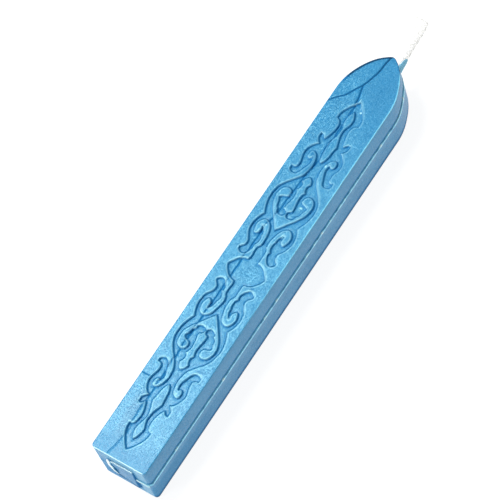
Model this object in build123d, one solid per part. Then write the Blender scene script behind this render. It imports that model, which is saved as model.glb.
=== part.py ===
# Sealing wax stick: one bar of wax, cast in a two-part mould round a cotton wick that runs through it.
# Millimetres, +Z up. The stick lies on its plain back with the ornament up and the wick towards +Y.
# The origin is the middle of the back face.
import os
from math import cos, pi, radians, sin, sqrt

from build123d import *

# Bar of wax
length = 90.0               # butt to the point of the arch
width = 11.6                # across the face and across the back
thickness = 11.2            # back to face
mould_draft = 0.6           # degrees, each half widens towards the parting plane
face_edge_radius = 0.3
back_edge_radius = 0.45
point_radius = 0.8          # rounding of the arch's point, seen from above
butt_corner_radius = 0.6    # rounding of the butt's upright corners
parting_groove = 0.22       # leg of the chamfer that each half has at the parting plane

# Pad left on the butt where the mould was filled
gate_width = 4.8
gate_height = 6.5
gate_proud = 0.35           # how far it stands out of the butt
gate_root = 1.0             # how far it reaches back into the bar

# Ornament, sunk into the face
ornament_depth = 0.4
butt_margin = 2.65          # butt to the first spear tip
shoulder_gap = 0.6          # last spear tip to where the arch begins
side_margin = 1.34          # widest scroll to the long edge

# Wick
wick_diameter = 2.2
wick_start = 4.0            # butt to the wick's buried end
wick_free_length = 11.0     # what stands out of the point
wick_bend_at = 2.5          # where it bends, measured from the point
wick_bend_radius = 15.0
wick_lean_side = 10.0       # degrees towards -X after the bend
wick_lean_up = 3.0          # degrees towards +Z after the bend

# Wax drawn up round the wick where it leaves the point
collar_foot = 2.0           # how far it reaches back into the bar
collar_length = 2.6         # how far it climbs along the wick
collar_foot_wall = 0.6
collar_lip_wall = 0.12

# One quarter of the ornament, as drawn: (distance from its cross line, distance from its long middle line).
# Each list is one smooth run, and two runs meet in a corner.
spear_and_hook = [
    [(38.35, 0.0), (36.85, 1.22), (35.15, 2.05), (33.9, 2.2)],
    [(33.9, 2.2), (33.65, 1.55), (32.75, 1.1), (31.15, 1.18), (29.65, 1.66), (29.15, 2.05), (29.75, 2.6),
     (29.85, 3.0)],
    [(29.85, 3.0), (29.55, 3.06), (27.95, 2.22)],
]
leaf = [
    [(27.95, 2.22), (26.75, 3.36), (25.15, 3.74), (23.15, 3.24), (22.15, 3.38), (21.8, 4.25)],
    [(21.8, 4.25), (20.85, 3.95), (20.8, 3.05), (21.95, 2.4), (23.45, 1.84), (24.75, 1.93)],
]
leaf_eye_and_heart_band = [
    [(24.75, 1.93), (24.5, 2.6), (25.25, 3.05), (26.15, 2.65), (26.0, 1.8), (24.75, 1.02), (23.05, 0.83),
     (21.05, 1.35), (18.95, 3.0), (16.95, 4.2), (14.95, 4.46), (12.95, 4.06), (11.45, 3.4)],
]
scroll = [
    [(11.45, 3.4), (9.95, 4.06), (8.35, 4.26), (6.85, 3.88), (5.15, 3.02), (4.35, 3.3), (3.65, 3.84),
     (2.9, 3.1), (3.45, 2.22), (5.15, 1.9)],
    [(5.15, 1.9), (5.85, 1.5), (6.55, 1.42), (7.35, 1.68)],
    [(7.35, 1.68), (8.25, 1.8), (9.05, 2.3)],
    [(9.05, 2.3), (8.45, 2.14), (7.65, 2.4), (7.3, 3.0), (8.15, 3.62), (9.75, 3.56), (10.6, 2.6),
     (10.05, 1.36), (8.45, 0.6), (6.15, 0.38), (5.75, 0.46)],
]
bar_and_cartouche = [
    [(5.75, 0.46), (5.3, 0.76), (3.95, 0.88), (2.35, 1.0)],
    [(2.35, 1.0), (2.0, 2.2), (1.25, 3.0)],
    [(1.25, 3.0), (0.75, 3.4), (0.0, 3.75)],
]
almond_island = [
    [(36.3, 0.0), (35.35, 0.62), (33.75, 0.83), (32.45, 0.38), (31.35, 0.3), (29.65, 0.74), (28.5, 1.13)],
    [(28.5, 1.13), (26.55, 0.86), (24.95, 0.38), (24.55, 0.0)],
]
heart_island = [
    [(21.32, 0.0), (21.0, 0.52), (20.0, 1.02)],
    [(20.0, 1.02), (19.25, 0.64), (18.75, 0.66), (18.15, 1.02)],
    [(18.15, 1.02), (16.75, 0.64), (14.95, 0.92), (13.75, 0.95)],
    [(13.75, 0.95), (13.25, 0.26), (12.55, 0.45), (12.45, 1.2), (13.35, 1.8)],
    [(13.35, 1.8), (13.75, 2.25), (14.75, 2.5), (15.45, 2.8), (15.9, 2.2), (16.15, 1.5), (16.95, 1.22),
     (17.75, 1.8), (17.55, 3.15), (16.05, 3.86), (14.15, 3.52), (12.15, 2.18), (10.15, 0.66), (9.32, 0.0)],
]
outer_quarter = spear_and_hook + leaf + leaf_eye_and_heart_band + scroll + bar_and_cartouche

# Worked out from the sizes above
butt = -length / 2
point = length / 2
parting_height = thickness / 2
arch_height = width * sqrt(3) / 2
arch_start = point - arch_height
ornament_start = butt + butt_margin
ornament_length = arch_start - shoulder_gap - ornament_start
ornament_width = width - 2 * side_margin
ornament_middle = ornament_start + ornament_length / 2
drawn_half_length = max(along for run in outer_quarter for along, across in run)
drawn_half_width = max(across for run in outer_quarter for along, across in run)
wick_radius = wick_diameter / 2


def bar_outline():
    """The bar seen from above: straight sides and an equilateral pointed arch, with its corners rounded."""
    half = width / 2
    sides = Polyline((-half, arch_start), (-half, butt), (half, butt), (half, arch_start))
    right_arc = RadiusArc((half, arch_start), (0, point), -width)
    left_arc = RadiusArc((0, point), (-half, arch_start), -width)
    outline = make_face(sides + right_arc + left_arc)
    outline = fillet(outline.vertices().sort_by(Axis.Y)[-1], point_radius)
    return fillet(outline.vertices().sort_by(Axis.Y)[:2], butt_corner_radius)


def mould_half(edge_radius):
    """One half of the casting, from its flat face at z = 0 up to the parting plane."""
    half = extrude(bar_outline(), parting_height, taper=-mould_draft)
    half = fillet(half.faces().sort_by(Axis.Z)[0].edges(), edge_radius)
    return chamfer(half.faces().sort_by(Axis.Z)[-1].edges(), parting_groove)


def placed_runs(runs, side, end):
    """Splines of one quarter's runs, on the given side of the middle line and towards the given end."""
    across_scale = side * ornament_width / 2 / drawn_half_width
    along_scale = end * ornament_length / 2 / drawn_half_length
    splines = []
    for run in runs:
        points = [
            (across * across_scale, ornament_middle + along * along_scale)
            for along, across in run
        ]
        splines.append(Spline(*points))
    return splines


def ornament():
    """The sunk part of the face: four mirrored quarters, less the islands that stay level with the face."""
    outer = []
    for side in (1, -1):
        for end in (1, -1):
            outer += placed_runs(outer_quarter, side, end)
    pattern = make_face(outer)
    for island in (almond_island, heart_island):
        for end in (1, -1):
            pattern -= make_face(placed_runs(island, 1, end) + placed_runs(island, -1, end))
    return pattern


def wick_path():
    """Straight through the bar at the parting height, then one gentle bend beyond the point."""
    side = radians(wick_lean_side)
    up = radians(wick_lean_up)
    leaning = wick_free_length - wick_bend_at
    bend = Vector(0, point + wick_bend_at, parting_height)
    tip = bend + leaning * Vector(-sin(side) * cos(up), cos(side) * cos(up), sin(up))
    start = Vector(0, butt + wick_start, parting_height)
    return FilletPolyline(start, bend, tip, radius=wick_bend_radius)


def make_wick():
    path = wick_path()
    section = Plane(path @ 0, z_dir=path % 0) * Circle(wick_radius)
    wick = sweep(section, path)
    expected = pi * wick_radius**2 * path.length
    print(f"wick: length {path.length:.2f}, volume {wick.volume:.3f}, section times length {expected:.3f}")
    return wick


def make_wax_body(wick):
    lower = mould_half(back_edge_radius)
    upper = mirror(mould_half(face_edge_radius), Plane.XY.offset(parting_height))
    gate_middle = butt + (gate_root - gate_proud) / 2
    gate = Pos(0, gate_middle, parting_height) * Box(gate_width, gate_root + gate_proud, gate_height)
    collar_base = Plane((0, point - collar_foot, parting_height), z_dir=(0, 1, 0))
    collar = collar_base * Cone(
        wick_radius + collar_foot_wall,
        wick_radius + collar_lip_wall,
        collar_foot + collar_length,
        align=(Align.CENTER, Align.CENTER, Align.MIN),
    )
    floor = Plane.XY.offset(thickness - ornament_depth)
    cutter = extrude(floor * ornament(), 2 * ornament_depth)
    return lower + upper + gate + collar - cutter - wick


wick = make_wick()
wax_body = make_wax_body(wick)

os.makedirs("parts", exist_ok=True)
for name, piece in (("wax_body", wax_body), ("wick", wick)):
    export_step(piece, f"parts/{name}.step")
    print(name, "solids", len(piece.solids()), "volume", round(piece.volume, 2))
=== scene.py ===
from math import atan2, cos, pi, radians, sin, sqrt, tan

import bpy
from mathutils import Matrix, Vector, noise
from mathutils.bvhtree import BVHTree


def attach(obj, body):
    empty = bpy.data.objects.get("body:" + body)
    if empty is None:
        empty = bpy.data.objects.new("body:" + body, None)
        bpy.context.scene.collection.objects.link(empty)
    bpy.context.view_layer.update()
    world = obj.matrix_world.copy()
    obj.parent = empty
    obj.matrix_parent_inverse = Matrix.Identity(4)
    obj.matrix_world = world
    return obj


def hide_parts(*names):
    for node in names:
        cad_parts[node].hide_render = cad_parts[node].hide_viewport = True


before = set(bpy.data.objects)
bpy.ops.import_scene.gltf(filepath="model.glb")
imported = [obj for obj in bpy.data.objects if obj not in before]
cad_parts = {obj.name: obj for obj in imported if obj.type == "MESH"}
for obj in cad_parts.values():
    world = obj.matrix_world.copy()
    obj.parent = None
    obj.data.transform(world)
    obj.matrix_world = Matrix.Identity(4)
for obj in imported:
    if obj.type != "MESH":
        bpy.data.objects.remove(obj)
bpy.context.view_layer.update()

# Wick
# A braided cotton wick: eight strands round a soft core, soaked in clear wax and cut off with scissors.
# It lies along the middle of the mould while the bar is poured, so most of its length is inside the wax.
mm = 0.001
point = 45 * mm
wick_start = -41 * mm
wick_side = 0.05 * mm
wick_height = 6.2 * mm
wick_free_length = 11 * mm
wick_bend = 47.5 * mm
wick_bend_radius = 15 * mm
wick_bend_steps = 12
wick_lean_side = radians(7)
wick_lean_up = radians(2)
wick_lean_length = 9.2 * mm
braid_pitch = 6 * mm
steps_per_pitch = 24
strand_radius = 0.26 * mm
strand_orbit = 0.75 * mm
strand_weave = 0.06 * mm
core_radius = 0.97 * mm
core_steps = 120
wick_lean = Vector((-sin(wick_lean_side), cos(wick_lean_side), tan(wick_lean_up))).normalized()
bend_turn = wick_lean.angle(Vector((0, 1, 0)))
bend_tangent = wick_bend_radius * tan(bend_turn / 2)
bend_side = Vector((wick_lean.x, 0, wick_lean.z)).normalized()
bend_corner = Vector((wick_side, wick_bend, wick_height))
bend_start = Vector((wick_side, wick_bend - bend_tangent, wick_height))
wick_length = bend_start.y - wick_start + wick_bend_radius * bend_turn + wick_lean_length - bend_tangent


def smooth_share(value, low, high):
    """0 below low, 1 above high, and a smooth rise between them."""
    share = min(max((value - low) / (high - low), 0), 1)
    return share * share * (3 - 2 * share)


def poly_curve(name, places, radius):
    """A curve object through the given places, round in section where it has a radius."""
    curve = bpy.data.curves.new(name, "CURVE")
    curve.dimensions = "3D"
    curve.bevel_depth = radius
    curve.bevel_resolution = 1
    curve.use_fill_caps = True
    spline = curve.splines.new("POLY")
    spline.points.add(len(places) - 1)
    for spline_point, place in zip(spline.points, places):
        spline_point.co = (*place, 1)
    piece = bpy.data.objects.new(name, curve)
    bpy.context.collection.objects.link(piece)
    return piece


def strand(way, quarter):
    """One strand along +Y that winds one way or the other, over and under the strands it crosses."""
    places = []
    steps = round(wick_length / braid_pitch * steps_per_pitch)
    for step in range(steps + 1):
        y = wick_length * step / steps
        turn = way * 2 * pi * y / braid_pitch + quarter * pi / 2
        orbit = strand_orbit + way * strand_weave * cos(8 * pi * y / braid_pitch)
        places.append((orbit * cos(turn), y, orbit * sin(turn)))
    return poly_curve("strand", places, strand_radius)


bpy.ops.object.select_all(action="DESELECT")
core_places = [(0, wick_length * step / core_steps, 0) for step in range(core_steps + 1)]
wick = poly_curve("cotton_wick", core_places, core_radius)
wick_parts = [wick]
for way in (1, -1):
    for quarter in range(4):
        wick_parts.append(strand(way, quarter))
for part in wick_parts:
    part.select_set(True)
bpy.context.view_layer.objects.active = wick
bpy.ops.object.convert(target="MESH")
bpy.ops.object.join()
wick = bpy.context.object

# It is nipped in where the wax holds it and spreads towards the cut, which is squeezed flat.
nipped_size = 0.76
eased_size = 0.1
cut_squeeze = 0.3
cut_spread = 0.75
# Painted shade greys the wick along its right and left edges, more on the right.
right_edge_shade = 0.45
left_edge_shade = 0.3
wick_exit = wick_length - wick_free_length
edge_shares = []
for vertex in wick.data.vertices:
    free = max(vertex.co.y - wick_exit, 0) / wick_free_length
    edge = vertex.co.z / (strand_orbit + strand_radius)
    edge_shade = right_edge_shade * smooth_share(-edge, 0.75, 0.97) + left_edge_shade * smooth_share(edge, 0.8, 0.97)
    edge_shares.append(edge_shade)
    size = nipped_size + eased_size * min(free * 3, 1)
    vertex.co.x *= size * (1 - cut_squeeze * free**2)
    vertex.co.z *= size * (1 + cut_spread * smooth_share(free, 0.2, 1))
wick.data.attributes.new("edge", "FLOAT", "POINT").data.foreach_set("value", edge_shares)

# It runs straight through the bar and bends a little beyond the point.
centre_places = [Vector((wick_side, wick_start, wick_height))]
for step in range(wick_bend_steps + 1):
    turn = bend_turn * step / wick_bend_steps
    ahead = Vector((0, wick_bend_radius * sin(turn), 0))
    centre_places.append(bend_start + ahead + bend_side * wick_bend_radius * (1 - cos(turn)))
centre_places.append(bend_corner + wick_lean * wick_lean_length)
wick_centre = poly_curve("wick_centre", centre_places, 0)
bend = wick.modifiers.new("bend", "CURVE")
bend.object = wick_centre
bend.deform_axis = "POS_Y"
bpy.ops.object.modifier_apply(modifier=bend.name)
bpy.data.objects.remove(wick_centre)

# The scissors went through a little on the slant, and painted shade darkens the edge of the cut.
cut_trim = 0.45 * mm
cut_reach = 0.05 * mm
cut_edge_shade = 0.7
cut_slant = wick_lean + Vector((0.2, 0, -0.1))
wick_cut = bend_corner + wick_lean * (wick_lean_length - cut_trim)
bpy.ops.object.mode_set(mode="EDIT")
bpy.ops.mesh.select_all(action="SELECT")
bpy.ops.mesh.bisect(plane_co=wick_cut, plane_no=cut_slant, use_fill=True, clear_outer=True)
bpy.ops.mesh.select_all(action="SELECT")
bpy.ops.mesh.normals_make_consistent(inside=False)
bpy.ops.object.mode_set(mode="OBJECT")
for vertex, edge in zip(wick.data.vertices, wick.data.attributes["edge"].data):
    if abs((vertex.co - wick_cut).dot(cut_slant)) < cut_reach:
        edge.value = max(edge.value, cut_edge_shade)
bpy.ops.object.shade_smooth_by_angle(angle=radians(50))


def add_node(tree, kind, **settings):
    """A new node of a kind in a tree, with its settings."""
    node = tree.nodes.new(kind)
    for name, value in settings.items():
        setattr(node, name, value)
    return node


def set_inputs(node, **values):
    """Constant values for a node's named inputs, with _ standing for a space."""
    for name, value in values.items():
        node.inputs[name.replace("_", " ")].default_value = value


def new_material(name):
    """An empty node material, its node tree and its Principled shader, already joined to the output."""
    material = bpy.data.materials.new(name)
    material.use_nodes = True
    tree = material.node_tree
    return material, tree, tree.nodes["Principled BSDF"]


def fed_noise(tree, place, **values):
    """The share that a noise texture gives at a place."""
    texture = add_node(tree, "ShaderNodeTexNoise")
    set_inputs(texture, **values)
    tree.links.new(place, texture.inputs["Vector"])
    return texture.outputs["Fac"]


def fed_range(tree, value, from_low, from_high, to_low, to_high):
    """A socket's value moved from one range to another and kept inside it."""
    change = add_node(tree, "ShaderNodeMapRange")
    tree.links.new(value, change.inputs["Value"])
    set_inputs(change, From_Min=from_low, From_Max=from_high, To_Min=to_low, To_Max=to_high)
    return change.outputs["Result"]


def fed_mix(tree, share, low, high):
    """A colour between low and high, each a colour or a socket, by the share that a socket gives."""
    mix = add_node(tree, "ShaderNodeMix", data_type="RGBA")
    tree.links.new(share, mix.inputs["Factor"])
    for name, colour in (("A", low), ("B", high)):
        socket = next(s for s in mix.inputs if s.name == name and s.type == "RGBA")
        if isinstance(colour, tuple):
            socket.default_value = (*colour, 1)
        else:
            tree.links.new(colour, socket)
    return next(s for s in mix.outputs if s.type == "RGBA")


dull_fibre = (0.9, 0.895, 0.87)
white_fibre = (0.98, 0.98, 0.965)
soaked_fibre = (0.96, 0.965, 0.955)
shaded_fibre = (0.45, 0.44, 0.4)
waxed_cotton, tree, shader = new_material("waxed_cotton")
place = add_node(tree, "ShaderNodeTexCoord").outputs["Object"]
fibre_lay = add_node(tree, "ShaderNodeMapping")
set_inputs(fibre_lay, Scale=(9000, 1600, 9000))
tree.links.new(place, fibre_lay.inputs["Vector"])
fibres = fed_noise(tree, fibre_lay.outputs["Vector"], Scale=1, Detail=4, Roughness=0.6)
soak = fed_noise(tree, place, Scale=600, Detail=2)
edge = add_node(tree, "ShaderNodeAttribute", attribute_name="edge").outputs["Fac"]
colour = fed_mix(tree, fed_range(tree, fibres, 0.3, 0.7, 0, 1), dull_fibre, white_fibre)
colour = fed_mix(tree, fed_range(tree, soak, 0.35, 0.75, 0, 0.5), colour, soaked_fibre)
# Painted shade along the wick's edges and along the edge of its cut.
colour = fed_mix(tree, edge, colour, shaded_fibre)
tree.links.new(colour, shader.inputs["Base Color"])
tree.links.new(fed_range(tree, soak, 0.35, 0.75, 0.8, 0.45), shader.inputs["Roughness"])
fibre_bump = add_node(tree, "ShaderNodeBump")
set_inputs(fibre_bump, Strength=0.1, Distance=0.02 * mm)
tree.links.new(fibres, fibre_bump.inputs["Height"])
tree.links.new(fibre_bump.outputs["Normal"], shader.inputs["Normal"])
set_inputs(shader, Subsurface_Weight=0.6, Subsurface_Radius=(1, 1, 1), Subsurface_Scale=0.5 * mm)
# The cotton glows a little by itself, painted light that keeps it near white on its shaded side.
set_inputs(shader, Emission_Color=(1, 1, 0.98, 1), Emission_Strength=0.16)
wick.data.materials.append(waxed_cotton)
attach(wick, "root")
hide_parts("wick")

# Wax body
# The bar is one casting of pearly blue wax, poured round the wick in a two-part mould.
# The ornament is sunk into the face that lies up, and a groove runs round where the mould halves met.
bar_width = 11.6 * mm
bar_thickness = 11.2 * mm
butt = -45 * mm
mould_draft = radians(0.6)
face_edge_radius = 0.15 * mm
back_edge_radius = 0.3 * mm
butt_edge_radius = 0.25 * mm
butt_corner_radius = 0.75 * mm
point_radius = 0.8 * mm
parting_height = bar_thickness / 2
arch_start = point - bar_width * sqrt(3) / 2
half_width = bar_width / 2
face_columns = 90
back_columns = 8

# In the groove the dark share is painted shade, and on the lip of flash the sheen share is a painted bluish
# highlight.
# The groove and the lip of flash under it, as (rise above the middle, depth, dark share, sheen share), in mm.
groove = [(1.5, 0, 0, 0), (1.22, 0.03, 0.7, 0), (0.92, 0.08, 1.4, 0), (0.68, 0.13, 1.6, 0),
          (0.63, 0.08, 0.2, 1), (0.58, -0.04, 0, 1), (0.06, -0.03, 0, 1), (0, 0, 0, 0)]
# The flank below them, with painted shade at its foot and along the back edge, as (height in mm, dark share).
flank_foot = [(3.8, 0), (2.0, 0), (1.2, 0.05), (0.7, 1.3)]
back_edge_dark = 1.9


def quarter_round(radius, depth):
    """How far a rounded edge has drawn in at a depth short of its radius."""
    rest = max(radius - depth, 0)
    return radius - sqrt(radius**2 - rest**2)


def bar_rings():
    """The bar's right-hand outline from butt to point, ring by ring.

    Each ring is (half width, y, normal x, normal y, inset of face and back, share of the butt's cap).
    """
    cap_steps = 14
    butt_steps = 7
    straight_steps = 600
    arch_steps = 52
    nose_steps = 8
    rings = []
    for step in range(cap_steps):
        rings.append((half_width - butt_corner_radius, butt, 1, 0, butt_edge_radius, step / cap_steps))
    for step in range(butt_steps):
        depth = butt_corner_radius * (step / butt_steps) ** 1.5
        half = half_width - quarter_round(butt_corner_radius, depth)
        rings.append((half, butt + depth, 1, 0, quarter_round(butt_edge_radius, depth), 1))
    straight_start = butt + butt_corner_radius
    for step in range(straight_steps):
        y = straight_start + (arch_start - straight_start) * step / straight_steps
        rings.append((half_width, y, 1, 0, 0, 1))
    nose_rise = sqrt((bar_width - point_radius) ** 2 - half_width**2)
    arch_turn = atan2(nose_rise, half_width)
    for step in range(arch_steps):
        turn = arch_turn * step / arch_steps
        half = bar_width * cos(turn) - half_width
        rings.append((half, arch_start + bar_width * sin(turn), cos(turn), sin(turn), 0, 1))
    for step in range(nose_steps + 1):
        turn = arch_turn + (pi / 2 - arch_turn) * step / nose_steps
        half = point_radius * cos(turn)
        rings.append((half, arch_start + nose_rise + point_radius * sin(turn), cos(turn), sin(turn), 0, 1))
    return rings


def side_stops():
    """One flank from the face down to the back, as (outward offset, height, dark share, sheen share)."""
    corner_turns = [radians(a) for a in (30, 60, 90)]
    flank_top = bar_thickness - face_edge_radius
    groove_top = parting_height + groove[0][0] * mm
    stops = []
    for turn in corner_turns:
        height = bar_thickness - face_edge_radius * (1 - cos(turn))
        stops.append((face_edge_radius * (sin(turn) - 1), height, 0, 0))
    for share in (0.33, 0.67):
        stops.append((0, flank_top + (groove_top - flank_top) * share, 0, 0))
    for rise, depth, dark, sheen in groove:
        stops.append((-depth * mm, parting_height + rise * mm, dark, sheen))
    for height, dark in flank_foot:
        stops.append((0, height * mm, dark, 0))
    for turn in reversed(corner_turns):
        height = back_edge_radius * (1 - cos(turn))
        stops.append((back_edge_radius * (sin(turn) - 1), height, back_edge_dark, 0))
    drafted = []
    for offset, height, dark, sheen in stops:
        widening = tan(mould_draft) * min(height, bar_thickness - height)
        drafted.append((offset + widening, height, dark, sheen))
    return drafted


def section_stops():
    """Once round the bar from the left of the face: each side stop after its share of the half width."""
    stops = []
    for column in range(face_columns + 1):
        stops.append((2 * column / face_columns - 1, -face_edge_radius, bar_thickness, 0, 0))
    for stop in side_stops():
        stops.append((1, *stop))
    for column in range(back_columns + 1):
        stops.append((1 - 2 * column / back_columns, -back_edge_radius, 0, 0, 0))
    for stop in reversed(side_stops()):
        stops.append((-1, *stop))
    return stops


# The ornament's outline is the casting's own: its upright walls are picked out of the frame's node.
ornament_depth = 0.4 * mm
ornament_wall_run = 0.18 * mm
ornament_wall_waver = 0.07 * mm
ornament_reach = 4.6 * mm
shoulder_dip = 0.03 * mm
shoulder_core = 0.05 * mm
shoulder_reach = 0.5 * mm
burr_height = 0.05 * mm
wax_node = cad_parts["wax_body"].data
wax_corners = [vertex.co.copy() for vertex in wax_node.vertices]
wax_faces = [tuple(face.vertices) for face in wax_node.polygons]
casting = BVHTree.FromPolygons(wax_corners, wax_faces)
ornament_walls = []
for face in wax_node.polygons:
    face_points = [wax_corners[i] for i in face.vertices]
    upright = abs(face.normal.z) < 0.1
    high = all(p.z > bar_thickness - 1.02 * ornament_depth for p in face_points)
    if upright and high and all(abs(p.x) < ornament_reach and p.y < arch_start for p in face_points):
        ornament_walls.append(tuple(face.vertices))
walls = BVHTree.FromPolygons(wax_corners, ornament_walls)


def along_share(y, start, end):
    """A smooth rise from 0 to 1 between two distances from the butt, in mm."""
    return smooth_share(y, butt + start * mm, butt + end * mm)


def line_share(away, near, far):
    """1 on a line, falling to 0 between a near and a far distance from it."""
    return 1 - smooth_share(abs(away), near, far)


def nearest_wall(x, y):
    """A face place's distance from the ornament's wall, positive where it is sunk, and the wall's normal."""
    waver = ornament_wall_waver * noise.noise((x / mm * 0.7, y / mm * 0.7, 11))
    spot = Vector((x + waver, y - waver, bar_thickness - ornament_depth / 2))
    _, normal, _, distance = walls.find_nearest(spot)
    hit = casting.ray_cast(spot + Vector((0, 0, mm)), Vector((0, 0, -1)))
    sunk = hit[0] is not None and hit[0].z < bar_thickness - ornament_depth / 2
    return distance if sunk else -distance, normal


# Each wall has a crease in soft painted shade beside it, and a burr and a rim of painted highlight on the
# face.
crease_core = 0.04 * mm
crease_reach = 0.115 * mm
crease_waver = 0.05 * mm
shade_core = 0.15 * mm
shade_reach = 0.7 * mm
hollow_dark = 0.13
shoulder_dark = 0.06
burr_offset = 0.14 * mm
burr_core = 0.04 * mm
burr_reach = 0.16 * mm
rim_offset = 0.26 * mm
rim_shift = 0.16 * mm
rim_core = 0.05 * mm
rim_reach = 0.15 * mm


def wall_marks(x, y, distance, normal):
    """Painted shade and painted highlight shares beside the ornament's wall, and the share of burr on its
    edge.

    They differ with the way the wall faces, and grow fainter towards the point.
    """
    far = along_share(y, 40, 65)
    lifted = smooth_share(-normal.y, 0.2, 0.85)
    turned_left = smooth_share(-normal.x, 0.1, 0.6)
    crease_middle = (0.02 + 0.1 * lifted - 0.14 * turned_left) * mm
    crease_edge = crease_reach + crease_waver * noise.noise((x / mm * 0.6, y / mm * 0.6, 2))
    crease = line_share(distance - crease_middle, crease_core, crease_edge)
    crease_dark = crease * (1.1 + (0.9 - 0.3 * far) * turned_left - 0.3 * lifted)
    shade_dark = hollow_dark if distance > 0 else shoulder_dark
    shade_dark *= line_share(distance, shade_core, shade_reach)
    burr = lifted * line_share(distance + burr_offset, burr_core, burr_reach)
    burr_pale = (0.95 - 0.25 * far) * burr
    rim_middle = rim_offset + rim_shift * turned_left
    rim_pale = (0.45 - 0.22 * far) * line_share(distance + rim_middle, rim_core, rim_reach)
    return max(crease_dark, shade_dark), max(burr_pale, rim_pale), burr


# Fine cracks where the wax flowed together, and a bright streak, as (distance from the butt, distance from
# the middle line), in mm.
flow_line = [(0, -2.45), (2.2, -2.0), (4.4, -1.6), (6.5, -1.75), (9, -2.0), (24, -2.2), (50, -2.1),
             (53.5, -1.5), (61.5, -1.2), (66, -0.6), (78, -0.7), (80, -0.85), (82.7, -1.55), (85.5, -0.6),
             (90, -0.3)]
side_crack = [(77.1, -5.8), (79.8, -3.2), (82.7, -1.55)]
bright_streak = [(58.6, 4.2), (60.5, 2.9), (62.7, 1.3)]
bright_streak_pale = 0.3
# Each crack is cut a little into the face and darkened with painted shade.
crack_depth = 0.14 * mm
crack_core = 0.05 * mm
crack_reach = 0.17 * mm
crack_gape = 0.03 * mm
crack_wander = 0.08
side_crack_dark = 1.8
flow_line_dark = 0.45
flow_line_darkening = 0.65
flow_line_tip_darkening = 0.7
# A short crack straight across, as (distance from the butt, its left end, its right end), in mm.
cross_crack = (16.0, -5.7, -3.6)
cross_crack_dark = 0.8
cross_crack_reach = 0.064 * mm
# Patches of painted shade and of painted highlight, as (distance from the butt, distance from the middle
# line, half length, half width, share), in mm.
shade_patches = [(26.6, -2.45, 1.2, 0.3, 0.8), (32.6, -2.1, 0.9, 0.25, 0.8), (38.6, 2.9, 0.5, 0.45, 0.5),
                (79.0, -0.6, 0.7, 0.25, 1.0), (66.4, -2.1, 0.35, 0.5, 0.5), (60.4, -0.75, 0.8, 0.2, 0.6),
                (20.6, 3.4, 0.5, 0.4, 0.35), (64.5, -1.4, 2.5, 0.7, 0.3)]
highlight_patches = [(77.7, 1.0, 0.18, 0.18, 1.4), (79.7, -0.25, 0.35, 0.1, 0.8), (78.7, 0.6, 0.6, 0.12, 0.5),
                  (65.4, 1.35, 0.3, 0.2, 0.9), (56.3, 1.8, 0.2, 0.3, 0.9), (50.5, -1.9, 0.3, 0.2, 0.9),
                  (48.9, -2.6, 0.5, 0.15, 0.7), (50.0, 2.0, 0.5, 0.25, 0.6), (15.4, 2.1, 0.3, 0.2, 0.7)]


def line_x(line, y):
    """Where a crack runs at a distance along the bar, or None beyond its ends."""
    along = (y - butt) / mm
    for (start, start_x), (end, end_x) in zip(line, line[1:]):
        if start <= along <= end:
            wander = crack_wander * noise.noise((along * 0.9, start_x, 0))
            return (start_x + (end_x - start_x) * (along - start) / (end - start) + wander) * mm
    return None


def crack_marks(x, y, column_gap):
    """A face place, drawn onto a crack that runs close by, and the crack's dark share there."""
    dark = 0
    for line in (flow_line, side_crack):
        crack = line_x(line, y)
        if crack is None:
            continue
        if abs(x - crack) <= column_gap / 2:
            x = crack
        strength = side_crack_dark
        if line is flow_line:
            strength = flow_line_dark + flow_line_darkening * along_share(y, 5, 20)
            strength += flow_line_tip_darkening * along_share(y, 76, 80)
        beside = abs(x - crack) - crack_gape * along_share(y, 74, 78)
        dark = max(dark, strength * (1 - smooth_share(beside, crack_core, crack_reach)))
    crack_y, left_end, right_end = cross_crack
    if left_end * mm < x < right_end * mm and abs(y - butt - crack_y * mm) <= cross_crack_reach:
        dark = cross_crack_dark
    return x, dark


def streak_share(x, y):
    """Pale share of the bright streak."""
    streak = line_x(bright_streak, y)
    if streak is None:
        return 0
    return bright_streak_pale * line_share(x - streak, 0.1 * mm, 0.35 * mm)


def patch_share(patches, x, y):
    """The largest share that any of the patches has at a place on the face."""
    largest = 0
    for patch_y, patch_x, half_length, half_breadth, share in patches:
        along = ((y - butt) / mm - patch_y) ** 2 / half_length**2
        across = (x / mm - patch_x) ** 2 / half_breadth**2
        largest = max(largest, share * (1 - smooth_share(along + across, 0.2, 1.6)))
    return largest


def pigment_loss(x, y):
    """Share of pearl pigment missing on the left of the flow line near the butt."""
    line = line_x(flow_line, y)
    if line is None:
        return 0
    along = along_share(y, 2, 6) * (1 - along_share(y, 11, 16))
    left = smooth_share(line - x, -0.3 * mm, 0.5 * mm) * (1 - smooth_share(line - x, 1.4 * mm, 2.6 * mm))
    return along * left


# Painted shade lies round the pad and low on the left of the butt, painted light to its right and under the
# face.
pad_top = 8.7 * mm
pad_top_slope = 0.07


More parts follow.
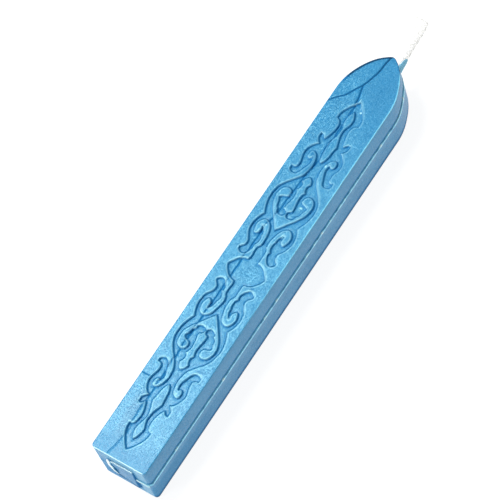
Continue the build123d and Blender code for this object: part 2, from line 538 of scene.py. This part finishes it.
def butt_shares(x, z):
    """Dark and pale shares on the butt: painted shade and light, and crumbs near its upper left."""
    above_pad = z - pad_top - pad_top_slope * x
    by_pad = smooth_share(x, -3.2 * mm, -2.2 * mm) * smooth_share(-x, -3.2 * mm, -2.6 * mm)
    by_pad *= smooth_share(z, 0.9 * mm, 1.8 * mm)
    by_pad *= 1 - 0.8 * smooth_share(above_pad, 0.6 * mm, 1.6 * mm)
    low_left = smooth_share(-x, 2 * mm, 3 * mm) * (1 - smooth_share(z, 6 * mm, 8 * mm))
    right = smooth_share(x, 2 * mm, 3.2 * mm)
    under_face = smooth_share(z, pad_top, pad_top + 0.5 * mm) * smooth_share(x, -4 * mm, -1 * mm)
    specks = noise.noise((x / mm * 1.7, z / mm * 1.7, 8))
    crumbs = smooth_share(-x, 0.5 * mm, 2.5 * mm) * smooth_share(z, 8.5 * mm, 9.5 * mm)
    dark_crumbs = crumbs * smooth_share(specks, 0.1, 0.3)
    pale_crumbs = crumbs * smooth_share(-specks, 0.1, 0.3)
    dark = max(1.5 * by_pad, 0.35 * low_left, 0.7 * dark_crumbs)
    pale = max(0.18 * right, 0.3 * under_face, 0.5 * pale_crumbs)
    return dark, pale


# The groove wavers along the flanks, and rises and widens where they run in to the point.
groove_band = 1.6 * mm
groove_waver = 0.05 * mm
groove_tip_depth = 0.35 * mm
groove_tip_rise = 0.4 * mm
groove_tip_spread = 0.5


def groove_raggedness(y, across):
    """How far the groove strays at a distance along one flank, from about -1 to 1."""
    coarse = noise.noise((y / mm * 0.8, across * 7, 0))
    fine = noise.noise((y / mm * 3.1, across * 7, 5))
    return coarse + 0.5 * fine


def groove_place(y, z, across, tip_share, dark, sheen):
    """The height of a place in the groove or on its lip, and its dark, pale and sheen shares."""
    ragged = groove_raggedness(y, across)
    z += groove_waver * ragged * (1 - smooth_share(y, point - 2 * mm, point - 0.5 * mm))
    z += tip_share * (groove_tip_rise + groove_tip_spread * (z - parting_height))
    # The lip's sheen and pale are painted highlights, and the dark in the groove painted shade, stronger on
    # the arch.
    sheen *= min(max(0.85 + 0.9 * ragged, 0.4), 1)
    pale = sheen * (0.4 + smooth_share(ragged, 0.2, 0.6))
    if across > 0:
        on_arch = smooth_share(y, arch_start, arch_start + 3 * mm)
        dark *= 1 + on_arch
        pale *= 1 + 0.5 * on_arch
    return z, dark, pale, sheen


# The face is a little wavy, darkened with painted shade towards both ends and along the left edge of the
# arch.
face_waves = 0.02 * mm
face_ripples = 0.006 * mm
point_dark = 0.17
butt_dark = 0.12
arch_rim = 0.42 * mm
arch_rim_dark = 2


def arch_share(y):
    """0 on the straight of the bar, and 1 from 4 mm past the start of the arch."""
    return smooth_share(y, arch_start + mm, arch_start + 4 * mm)


def face_place(x, y, z, across, half):
    """A face place's x and height, with cracks, waves and ornament, and its dark, pale and loss shares."""
    column_gap = 2 * (half - face_edge_radius) / face_columns
    x, dark = crack_marks(x, y, column_gap)
    z -= crack_depth * min(dark, 1)
    if (1 + across) * half < arch_rim:
        dark = max(dark, arch_rim_dark * arch_share(y))
    towards_point = smooth_share(y + 2 * x, arch_start - 4 * mm, arch_start + 6 * mm)
    towards_butt = 1 - along_share(y, 1, 6)
    tone_dark = max(point_dark * towards_point, butt_dark * towards_butt)
    dark = max(dark, patch_share(shade_patches, x, y), tone_dark)
    z += face_waves * noise.noise((x / mm * 0.35, y / mm * 0.22, 3))
    z += face_ripples * noise.noise((x / mm * 1.1, y / mm * 1.1, 6))
    pale = 0
    if abs(x) < ornament_reach + mm:
        distance, normal = nearest_wall(x, y)
        wall_dark, wall_pale, burr = wall_marks(x, y, distance, normal)
        dark = max(dark, wall_dark)
        # Pale shares: painted highlights beside the walls and in the bright patches, and the bright streak.
        pale = max(wall_pale, streak_share(x, y), patch_share(highlight_patches, x, y))
        z -= ornament_depth * smooth_share(distance, -ornament_wall_run / 2, ornament_wall_run / 2)
        z -= shoulder_dip * line_share(distance, shoulder_core, shoulder_reach)
        z += burr_height * burr
    return x, z, dark, pale, pigment_loss(x, y)


# A grid is wrapped round the section and along the rings, and each place on it gets its four shares:
# dark for painted shade, pale for painted highlight and paler wax, loss for thin pigment, sheen for painted
# bluish shine.
# Painted highlight on the right face edge and the butt's upper edge; painted shade near the nose, by the arch
# and low on the flank.
face_edge_band = 0.1 * mm
face_edge_highlight = 0.7
nose_edge_dark = 1.6
arch_edge_dark = 1.9
front_edge_highlight = 1.8
low_flank_dark = 0.22
point_lean_start = point - 6 * mm
point_lean = 0.4 * mm
point_stretch = 0.3 * mm
rings = bar_rings()
section = section_stops()
bpy.ops.object.select_all(action="DESELECT")
bpy.ops.mesh.primitive_grid_add(x_subdivisions=len(section), y_subdivisions=len(rings) - 1, size=1)
wax = bpy.context.object
wax.name = "pearl_wax_bar"
wax_shares = {"dark": [], "pale": [], "loss": [], "sheen": []}
for vertex in wax.data.vertices:
    across, offset, z, dark, sheen = section[round((vertex.co.x + 0.5) * len(section)) % len(section)]
    half, y, normal_x, normal_y, inset, cap = rings[round((vertex.co.y + 0.5) * (len(rings) - 1))]
    pale = 0
    loss = 0
    on_face = z == bar_thickness
    on_face_edge = bar_thickness - face_edge_band < z < bar_thickness
    by_groove = 0 < z - parting_height < groove_band
    tip_share = smooth_share(y, arch_start + 2 * mm, arch_start + 7 * mm)
    if by_groove and dark > 1:
        offset -= groove_tip_depth * tip_share
    x = cap * across * (half + normal_x * offset)
    y = y + normal_y * offset
    z = parting_height + cap * (z - parting_height) * (1 - inset / parting_height)
    nose_share = smooth_share(y, point - 3.5 * mm, point - 2 * mm)
    edge_sheen = (0.1 + 0.9 * along_share(y, 25, 55)) * (1 - nose_share)

    # The edges and the flanks
    # Painted bluish highlight along the right face edge, painted shade at the nose, by the arch and low on
    # the flank.
    if on_face and across == 1:
        sheen = edge_sheen
    elif on_face_edge and across > 0:
        sheen = edge_sheen
        pale = face_edge_highlight * sheen
        dark = nose_edge_dark * nose_share
    elif on_face_edge:
        dark = arch_edge_dark * arch_share(y)
    elif by_groove and cap == 1:
        z, dark, pale, sheen = groove_place(y, z, across, tip_share, dark, sheen)
    elif across > 0 and 0 < z < parting_height:
        dark = max(dark, low_flank_dark * (1 - along_share(y, 8, 28)))

    # The face and the butt, with the edge between them
    if on_face and inset == 0:
        x, z, dark, pale, loss = face_place(x, y, z, across, half)
    # Painted highlight along the butt's upper edge.
    elif on_face and inset < butt_edge_radius:
        pale = front_edge_highlight * smooth_share(inset, 0, 0.06 * mm)
    elif y == butt:
        dark, pale = butt_shares(x, z)
        sheen = 0

    # The point leans a little to the right
    lean = smooth_share(y, point_lean_start, point)
    x += point_lean * lean * smooth_share(x, -2.5 * mm, mm)
    y += point_stretch * lean
    vertex.co = (x, y, z)
    for name, share in (("dark", dark), ("pale", pale), ("loss", loss), ("sheen", sheen)):
        wax_shares[name].append(share)

for name, shares in wax_shares.items():
    wax.data.attributes.new(name, "FLOAT", "POINT").data.foreach_set("value", shares)
bpy.ops.object.mode_set(mode="EDIT")
bpy.ops.mesh.select_all(action="SELECT")
bpy.ops.mesh.remove_doubles(threshold=0.0001 * mm)
bpy.ops.mesh.normals_make_consistent(inside=False)
bpy.ops.object.mode_set(mode="OBJECT")
bpy.ops.object.shade_smooth_by_angle(angle=radians(60))


def solid_change(tool, operation, **share_at):
    """Join a tool's solid to the bar or cut it out, with any shares worked out from places on the tool."""
    for name in wax_shares:
        share = share_at.get(name, lambda place: 0)
        shares = [share(vertex.co) for vertex in tool.data.vertices]
        tool.data.attributes.new(name, "FLOAT", "POINT").data.foreach_set("value", shares)
    change = wax.modifiers.new("change", "BOOLEAN")
    change.operation = operation
    change.solver = "MANIFOLD"
    change.object = tool
    bpy.context.view_layer.objects.active = wax
    bpy.ops.object.modifier_apply(modifier=change.name)
    bpy.data.objects.remove(tool)


# The parting groove goes on across the left of the butt.
butt_groove_side = 0.36 * mm
butt_groove_height = parting_height - 0.1 * mm
bpy.ops.object.select_all(action="DESELECT")
bpy.ops.mesh.primitive_cube_add(size=1, location=(-half_width, butt, butt_groove_height))
butt_groove = bpy.context.object
butt_groove.scale = (bar_width, butt_groove_side, butt_groove_side)
butt_groove.rotation_euler = (radians(45), 0, 0)
bpy.ops.object.transform_apply()
# Painted shade darkens the cut.
solid_change(butt_groove, "DIFFERENCE", dark=lambda place: 0.8)

# On the right a thread of wax squeezed out of the parting line fills it.
thread_radius = 0.3 * mm
thread_length = 2.7 * mm
thread_middle = 4.1 * mm
thread_height = parting_height + 0.1 * mm
bpy.ops.object.select_all(action="DESELECT")
bpy.ops.mesh.primitive_cylinder_add(vertices=8, radius=thread_radius, depth=thread_length)
thread = bpy.context.object
thread.rotation_euler = (0, radians(90), 0)
thread.location = (thread_middle, butt, thread_height)
bpy.ops.object.transform_apply()
bpy.ops.object.shade_smooth_by_angle(angle=radians(60))
# Its white is a painted highlight.
solid_change(thread, "UNION", pale=lambda place: 1.6 + 0.5 * noise.noise(place / mm * 2))

# Pad where the mould was filled, broken off a little askew: each corner's place on the butt and how far it
# stands out there, in mm, by its side and level.
pad_corners = {
    (-1, 1): (-2.1, 8.5, 0.2),
    (1, 1): (2.55, 8.85, 0.2),
    (1, -1): (2.7, 2.7, 0.52),
    (-1, -1): (-2.1, 4.3, 0.36),
}
pad_spread = 0.42
pad_root = 0.1
pad_wall_lean = 0.024
pad_low_slope = 0.33
pad_tear = 0.05 * mm
pad_waver = 0.04 * mm
bpy.ops.object.select_all(action="DESELECT")
bpy.ops.mesh.primitive_cube_add(size=2)
pad = bpy.context.object
for vertex in pad.data.vertices:
    corner = (round(vertex.co.x), round(vertex.co.z))
    x, z, proud = pad_corners[corner]
    at_root = vertex.co.y > 0
    if at_root and corner == (1, -1):
        x += pad_spread
        z -= pad_spread
    y = butt + pad_root * mm if at_root else butt - proud * mm
    vertex.co = (x * mm, y, z * mm)
bpy.ops.object.mode_set(mode="EDIT")
bpy.ops.mesh.select_all(action="SELECT")
bpy.ops.mesh.subdivide(number_cuts=15)
bpy.ops.mesh.select_all(action="DESELECT")
bpy.ops.object.mode_set(mode="OBJECT")
for vertex in pad.data.vertices:
    if vertex.co.y < butt:
        vertex.co.y -= pad_tear * noise.fractal(vertex.co / mm * 0.9, 0.8, 2, 4)
        vertex.co.x += pad_waver * noise.noise(vertex.co / mm * 1.3)
bpy.ops.object.shade_smooth_by_angle(angle=radians(40))


def pad_wall_dark(place):
    """The pad's right-hand wall and lower edge lie in its own shade."""
    wall_top = pad_corners[(1, 1)][1] * mm
    wall = smooth_share(place.x - pad_wall_lean * (wall_top - place.z), 2.5 * mm, 2.6 * mm)
    above_edge = place.z - 3.6 * mm + pad_low_slope * place.x
    return max(wall, (2 - wall) * (1 - smooth_share(above_edge, 0.2 * mm, 0.6 * mm)))


def pad_edge_highlight(place):
    """Painted highlight along the pad's upper edge."""
    return 1.7 * smooth_share(place.z - pad_top_slope * place.x, 8.45 * mm, 8.6 * mm)


solid_change(pad, "UNION", dark=pad_wall_dark, pale=pad_edge_highlight, loss=lambda place: 0.5)

# Bead of wax that ran down beside the pad, slanting to the right at its foot, in mm.
bead_x = -2.3
bead_z = 6.3
bead_proud = 0.22
bead_half_height = 1.95
bead_half_width = 0.75
bead_half_depth = 0.34
bead_slant = 0.8
bead_bow = 0.12
bead_tilt = 0.15
bead_raggedness = 0.15
bpy.ops.object.select_all(action="DESELECT")
bpy.ops.mesh.primitive_uv_sphere_add(segments=20, ring_count=14, radius=1)
bead = bpy.context.object
for vertex in bead.data.vertices:
    level = vertex.co.z
    ragged = noise.noise((2.6 * level, 0.5, 7))
    middle = bead_x - bead_slant * level + bead_bow * level**2 + bead_raggedness * ragged
    x = middle + bead_half_width * vertex.co.x
    y = -bead_proud + bead_tilt * level + bead_half_depth * vertex.co.y
    vertex.co = (x * mm, butt + y * mm, (bead_z + bead_half_height * level) * mm)
bpy.ops.object.shade_smooth()


def bead_edge_shade(place):
    """Painted shade in a ragged line along the bead's right-hand edge."""
    level = (place.z / mm - bead_z) / bead_half_height
    right = place.x / mm - bead_x + bead_slant * level
    return 1.8 * smooth_share(right + 0.2 * noise.noise(place / mm * 2), 0.42, 0.6)


def bead_highlight(place):
    """Painted highlight: the bead is white up to its shaded edge."""
    return 2 * (1 - min(bead_edge_shade(place), 1))


solid_change(bead, "UNION", dark=bead_edge_shade, pale=bead_highlight)

# Wax that crept up round the wick, higher on the right than on the left.
collar_foot = 2 * mm
collar_foot_radius = 1.5 * mm
collar_taper = 0.55 * mm
collar_waver = 0.05 * mm
collar_lip = 0.6 * mm
collar_lip_waver = 0.2 * mm
collar_lip_round = 0.08 * mm
collar_tongue = 2.3 * mm
tongue_turn = radians(25)
bpy.ops.object.select_all(action="DESELECT")
bpy.ops.mesh.primitive_cylinder_add(vertices=40, radius=1, depth=1, rotation=(radians(-90), 0, 0))
collar = bpy.context.object
bpy.ops.object.transform_apply()
bpy.ops.object.mode_set(mode="EDIT")
bpy.ops.mesh.select_all(action="DESELECT")
bpy.ops.object.mode_set(mode="OBJECT")
for edge in collar.data.edges:
    first, last = (collar.data.vertices[i].co for i in edge.vertices)
    edge.select = abs(first.y - last.y) > 0.5
bpy.ops.object.mode_set(mode="EDIT")
bpy.ops.mesh.subdivide(number_cuts=12)
bpy.ops.object.mode_set(mode="OBJECT")
for vertex in collar.data.vertices:
    climb = max(vertex.co.y + 0.5, 0)
    turn = atan2(vertex.co.z, vertex.co.x)
    ragged = noise.noise((2 * cos(turn), 2 * sin(turn), 4))
    tongue = smooth_share(cos(turn - tongue_turn), 0.6, 1)
    lip = collar_lip + collar_tongue * tongue + collar_lip_waver * ragged
    radius = collar_foot_radius - collar_taper * climb**0.6 + collar_waver * ragged
    if climb > 0.97:
        radius -= collar_lip_round
    y = point - collar_foot + (collar_foot + lip) * climb
    vertex.co = (wick_side + radius * cos(turn), y, wick_height + radius * sin(turn))
bpy.ops.object.shade_smooth_by_angle(angle=radians(60))
solid_change(collar, "UNION", pale=lambda place: 0.5)


def fed_sum(tree, first, second):
    """Two sockets' values added."""
    total = add_node(tree, "ShaderNodeMath", operation="ADD")
    tree.links.new(first, total.inputs[0])
    tree.links.new(second, total.inputs[1])
    return total.outputs["Value"]


def fed_vector(tree, operation, *vectors):
    """A vector worked out from one or two others, each a vector or a socket."""
    step = add_node(tree, "ShaderNodeVectorMath", operation=operation)
    for socket, vector in zip(step.inputs, vectors):
        if isinstance(vector, tuple):
            socket.default_value = vector
        else:
            tree.links.new(vector, socket)
    return step.outputs["Vector"]


# Blue wax full of pearl flakes that lean every way; the layers of colour over it follow the shares, each as
# (share, where it starts, where it is full, how much it covers, colour).
deep_pearl = (0.004, 0.182, 0.435)
light_pearl = (0.006, 0.212, 0.485)
flake_blue = (0.1, 0.45, 0.75)
flake_tilt = 0.3
wax_layers = [
    # The dark layers are painted shade; the sheen layer and most of the pale ones are painted highlight.
    ("loss", 0, 1, 0.6, (0.004, 0.12, 0.34)),
    ("dark", 0, 1, 0.95, (0, 0.15, 0.41)),
    ("dark", 1, 2, 0.9, (0, 0.04, 0.11)),
    ("sheen", 0, 1, 1, (0.16, 0.66, 1)),
    ("pale", 0, 1, 0.8, (0.46, 0.9, 1)),
    ("pale", 1, 2, 0.9, (1, 1, 1)),
]
pearl_wax, tree, shader = new_material("pearl_wax")
place = add_node(tree, "ShaderNodeTexCoord").outputs["Object"]
flakes = add_node(tree, "ShaderNodeTexVoronoi")
set_inputs(flakes, Scale=8000)
tree.links.new(place, flakes.inputs["Vector"])
flake_share = add_node(tree, "ShaderNodeSeparateColor")
tree.links.new(flakes.outputs["Color"], flake_share.inputs["Color"])
clouds = fed_noise(tree, place, Scale=260, Detail=4, Roughness=0.6, Distortion=0.6)
share_sockets = {}
for name in wax_shares:
    share_sockets[name] = add_node(tree, "ShaderNodeAttribute", attribute_name=name).outputs["Fac"]
colour = fed_mix(tree, fed_range(tree, clouds, 0.3, 0.7, 0, 1), deep_pearl, light_pearl)
colour = fed_mix(tree, fed_range(tree, flake_share.outputs["Red"], 0.5, 1, 0, 0.36), colour, flake_blue)
for name, start, full, cover, layer_colour in wax_layers:
    layer_share = fed_range(tree, share_sockets[name], start, full, 0, cover)
    colour = fed_mix(tree, layer_share, colour, layer_colour)
tree.links.new(colour, shader.inputs["Base Color"])
cloud_roughness = fed_range(tree, clouds, 0.3, 0.7, 0.015, -0.015)
flake_roughness = fed_range(tree, flake_share.outputs["Green"], 0, 1, 0.35, 0.53)
crevice_roughness = fed_range(tree, share_sockets["dark"], 0, 1, 0, 0.7)
roughness = fed_sum(tree, fed_sum(tree, cloud_roughness, flake_roughness), crevice_roughness)
tree.links.new(roughness, shader.inputs["Roughness"])
set_inputs(shader, IOR=1.75, Specular_Tint=(0.5, 1, 1, 1), Coat_Weight=0.15, Coat_Roughness=0.2)
flake_lean = fed_vector(tree, "SUBTRACT", flakes.outputs["Color"], (0.5, 0.5, 0.5))
small_lean = fed_vector(tree, "MULTIPLY", flake_lean, (flake_tilt, flake_tilt, flake_tilt))
surface_normal = add_node(tree, "ShaderNodeNewGeometry").outputs["Normal"]
flake_normal = fed_vector(tree, "ADD", surface_normal, small_lean)
tree.links.new(fed_vector(tree, "NORMALIZE", flake_normal), shader.inputs["Normal"])
wax.data.materials.clear()
wax.data.materials.append(pearl_wax)
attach(wax, "root")
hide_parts("wax_body")

# Floor
# A plain white table top that the bar lies on.
# It glows a little by itself, so that hardly a shadow shows.
floor_drop = 0.01 * mm
bpy.ops.object.select_all(action="DESELECT")
bpy.ops.mesh.primitive_plane_add(size=3, location=(0, 0, -floor_drop))
floor = bpy.context.object
floor.name = "floor"
bpy.ops.object.transform_apply(location=True)
pale_floor, tree, shader = new_material("pale_floor")
set_inputs(shader, Base_Color=(0.22, 0.22, 0.22, 1), Roughness=0.8)
set_inputs(shader, Emission_Color=(1, 1, 1, 1), Emission_Strength=0.9)
floor.data.materials.append(pale_floor)


# Light and camera
# A soft light stands high to the left of the picture and a weaker one low in front of the butt.
# The surroundings are bright near the horizon and dim overhead.
def soft_light(place, size, energy):
    """A round area light at a place, turned towards the bar."""
    bpy.ops.object.light_add(type="AREA", location=place)
    light = bpy.context.object
    light.rotation_euler = (-light.location).to_track_quat("-Z", "Y").to_euler()
    light.data.shape = "DISK"
    light.data.size = size
    light.data.energy = energy


soft_light(place=(-196 * mm, -6 * mm, 467 * mm), size=200 * mm, energy=2.3)
soft_light(place=(-250 * mm, -450 * mm, 280 * mm), size=250 * mm, energy=0.95)
world = bpy.data.worlds.new("pale_surroundings")
world.use_nodes = True
tree = world.node_tree
direction = add_node(tree, "ShaderNodeTexCoord").outputs["Generated"]
height = add_node(tree, "ShaderNodeSeparateXYZ")
tree.links.new(direction, height.inputs["Vector"])
background = tree.nodes["Background"]
set_inputs(background, Color=(0.97, 0.985, 1, 1))
tree.links.new(fed_range(tree, height.outputs["Z"], 0.1, 0.75, 0.8, 0.11), background.inputs["Strength"])
scene = bpy.context.scene
scene.world = world
scene.view_settings.view_transform = "Standard"

camera_place = (188.45 * mm, -137.75 * mm, 443.6 * mm)
camera_turn = (radians(26.51), radians(10.857), radians(33.404))
camera_lens = 199.66
bpy.ops.object.camera_add(location=camera_place, rotation=camera_turn)
camera = bpy.context.object
camera.data.sensor_width = 36
camera.data.lens = camera_lens
camera.data.clip_end = 10
scene.camera = camera
